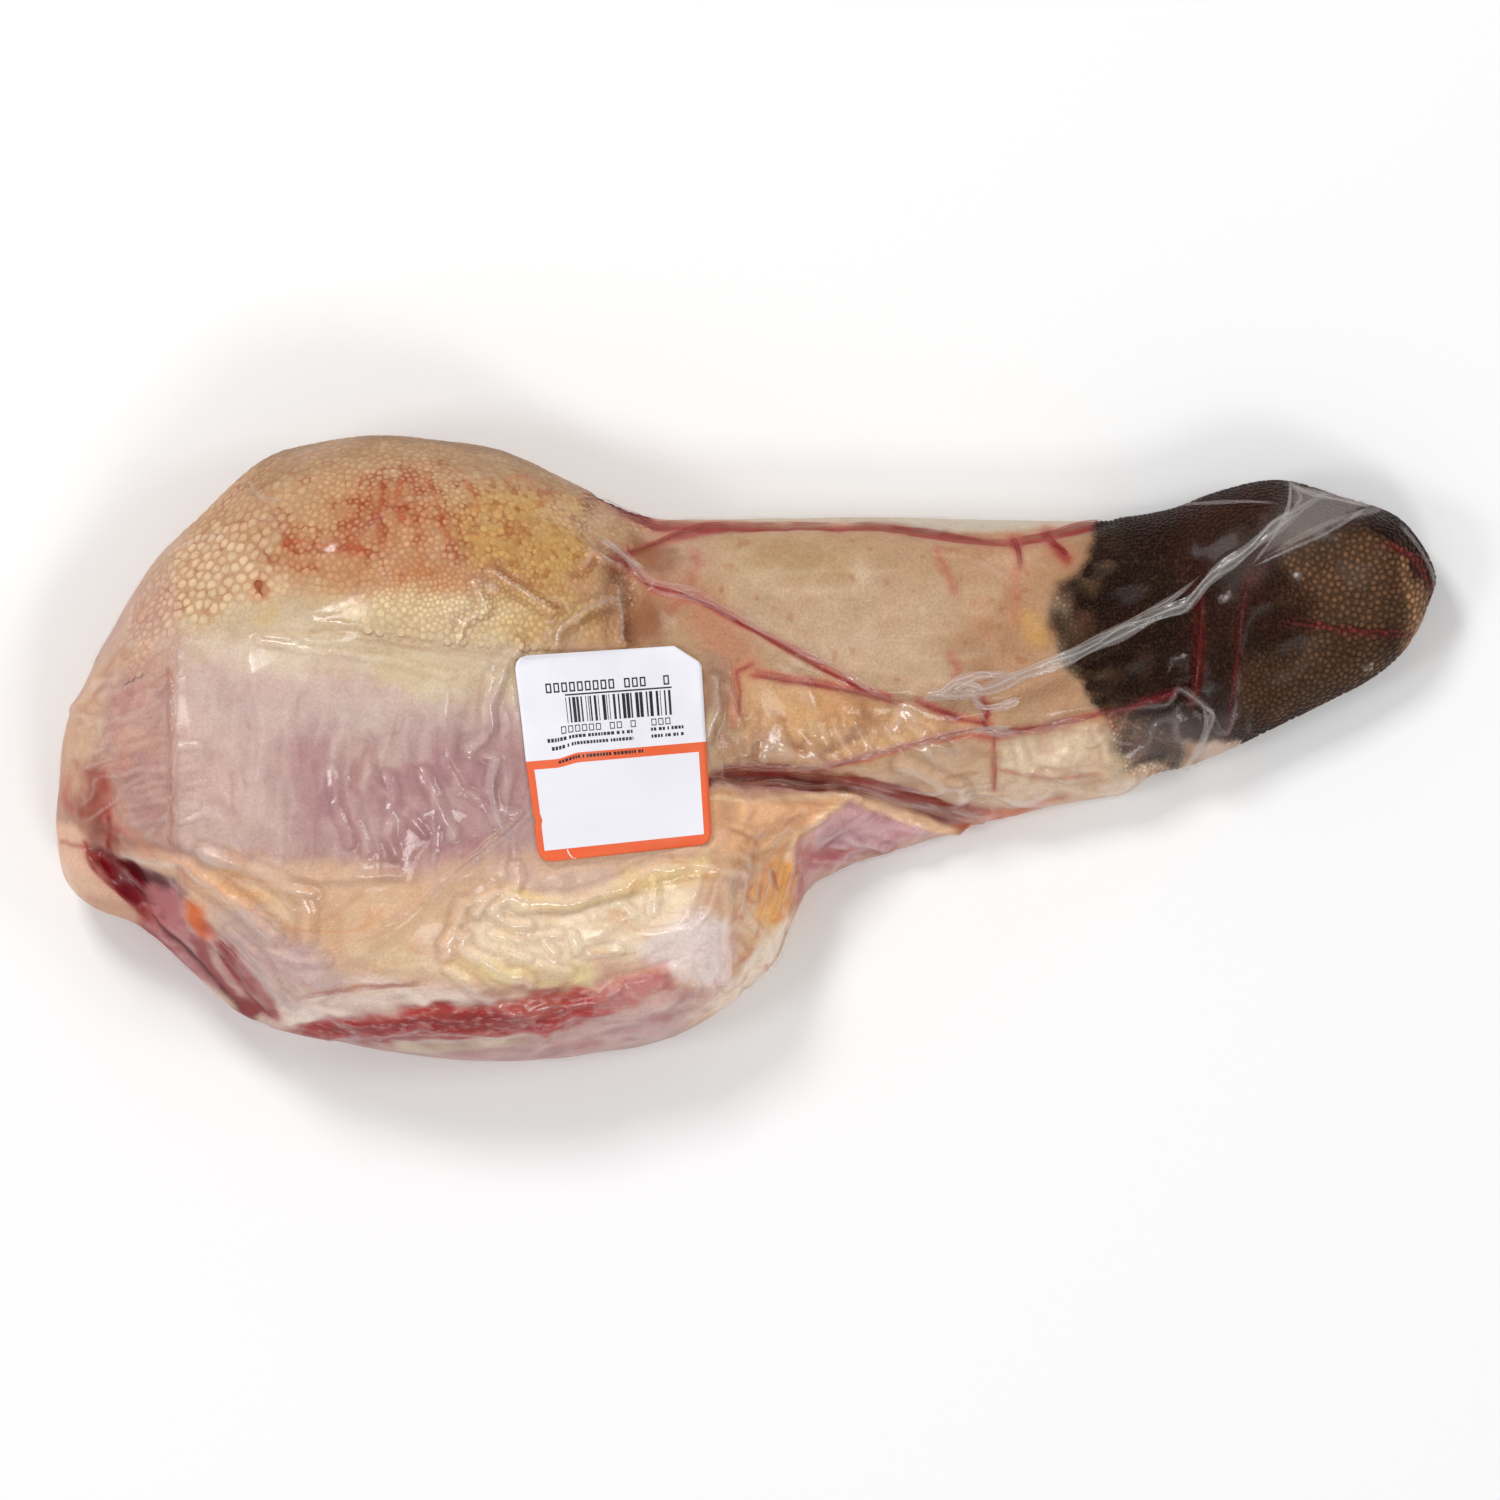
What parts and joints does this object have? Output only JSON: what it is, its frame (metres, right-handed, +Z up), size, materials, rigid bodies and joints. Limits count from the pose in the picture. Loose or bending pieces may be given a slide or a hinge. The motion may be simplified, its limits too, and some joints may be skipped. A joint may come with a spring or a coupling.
{
  "type": "vacuum-packed raw beef tongue",
  "caption": "Whole raw beef tongue lying on its side in clear shrunken film, thick root at one end, blade and dark tip at the other, with a paper price label on the film.",
  "frame": {"origin": "under the middle of the pack's outline, on the surface it lies on", "axes": "+X from the thick root to the tip, +Y towards the hump of the tongue's back, +Z up, out of the side that carries the label"},
  "size_m": [0.3202, 0.1456, 0.0643],
  "materials": {
    "meat": "gloss",
    "film": "gloss",
    "label_paper": "satin"
  },
  "bodies": {
    "root": {"tongue": "meat", "label": "label_paper"}
  },
  "joints": []
}
